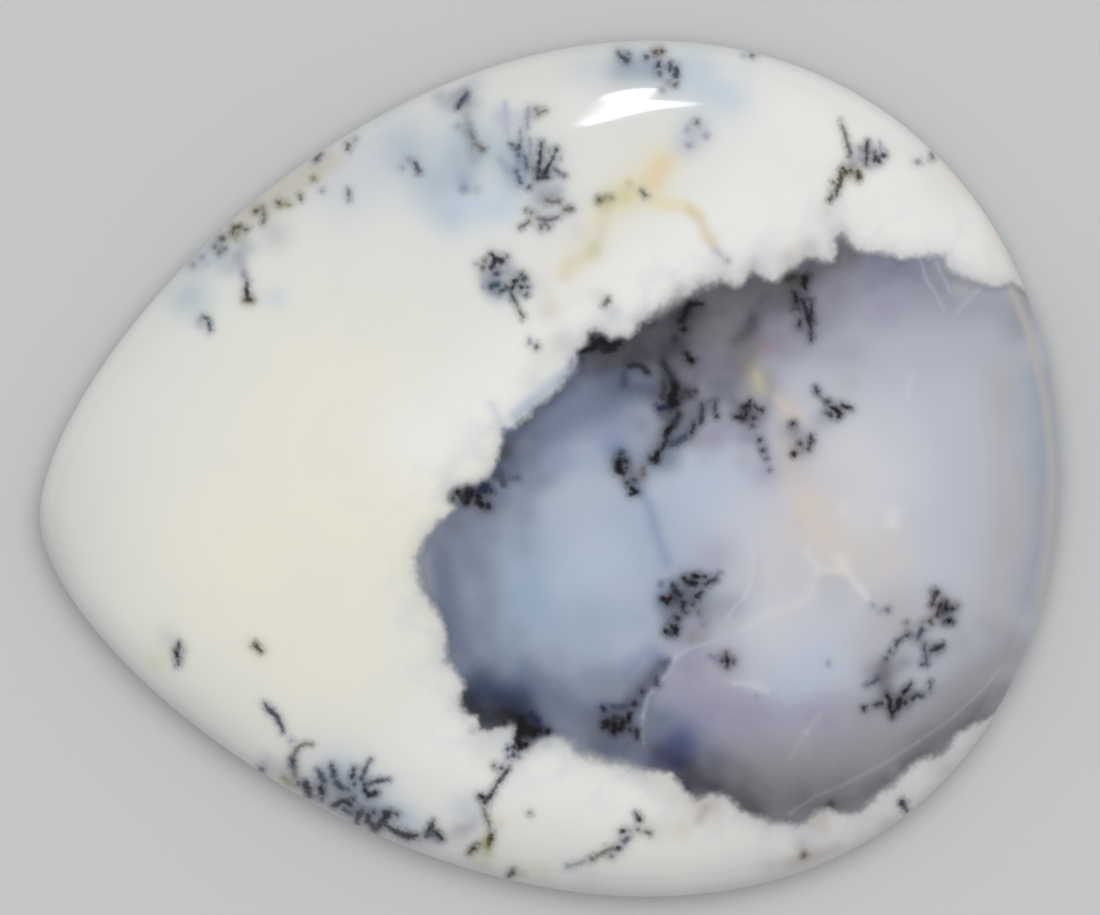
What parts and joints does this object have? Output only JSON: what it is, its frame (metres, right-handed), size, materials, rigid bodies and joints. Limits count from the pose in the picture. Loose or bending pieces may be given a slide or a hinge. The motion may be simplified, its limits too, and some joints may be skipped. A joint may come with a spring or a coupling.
{
  "type": "dendritic agate cabochon",
  "caption": "Polished pear-shaped dendritic agate cabochon with a low dome, a thin upright girdle and a flat bevelled back.",
  "frame": {"origin": "middle of the flat back, at the centre of the stone's bounding box", "axes": "+Z out of the dome, +X from the narrow nose of the pear towards its broad end, +Y across the stone"},
  "size_m": [0.042, 0.0352, 0.0062],
  "materials": {
    "agate": "polished"
  },
  "bodies": {
    "root": {"cabochon": "agate"}
  },
  "joints": []
}
